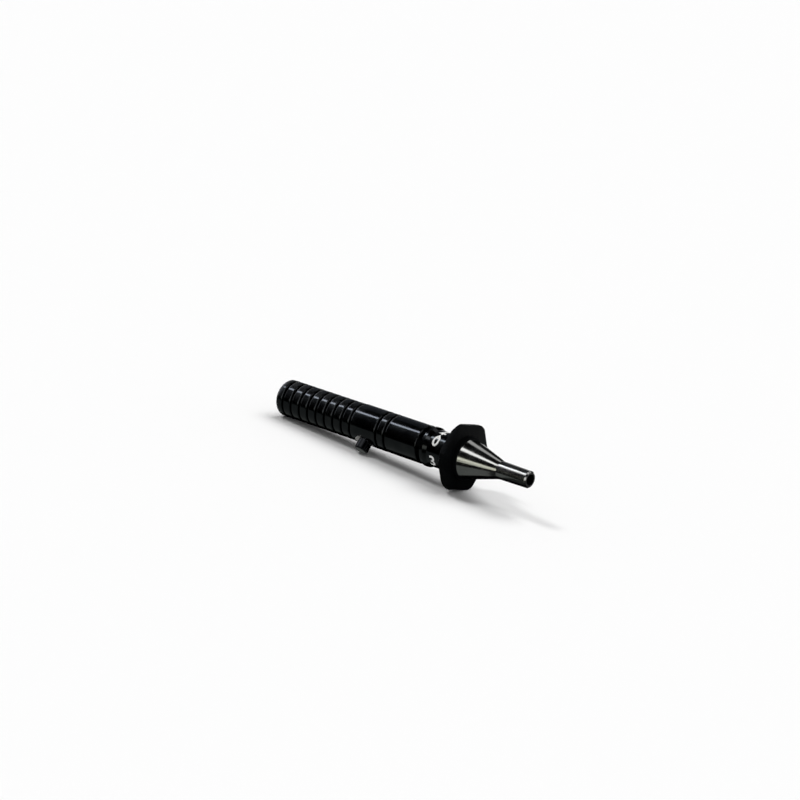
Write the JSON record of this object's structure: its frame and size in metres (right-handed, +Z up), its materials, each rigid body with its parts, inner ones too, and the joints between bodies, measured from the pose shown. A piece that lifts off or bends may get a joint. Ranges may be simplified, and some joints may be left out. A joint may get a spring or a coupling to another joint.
{
  "type": "smt pick up nozzle",
  "caption": "Slim vacuum pick up nozzle: grooved black shank with a driving pin, six-sided plate and polished conical tip.",
  "frame": {"origin": "middle of the nozzle's box, on the table that it lies on", "axes": "+X along the nozzle towards its tip, which points a little upwards; +Z up; the driving pin is on the -Y side"},
  "size_m": [0.0248, 0.0054, 0.0052],
  "materials": {
    "blackened_steel": "turned steel, glossy black coated",
    "black_pin_steel": "ground dowel pin, glossy black",
    "matt_black_plastic": "fine matt black",
    "polished_steel": "ground and polished bright"
  },
  "bodies": {
    "root": {"shank": "blackened_steel", "driving_pin": "black_pin_steel", "plate": "matt_black_plastic", "tip": "polished_steel"}
  },
  "joints": []
}
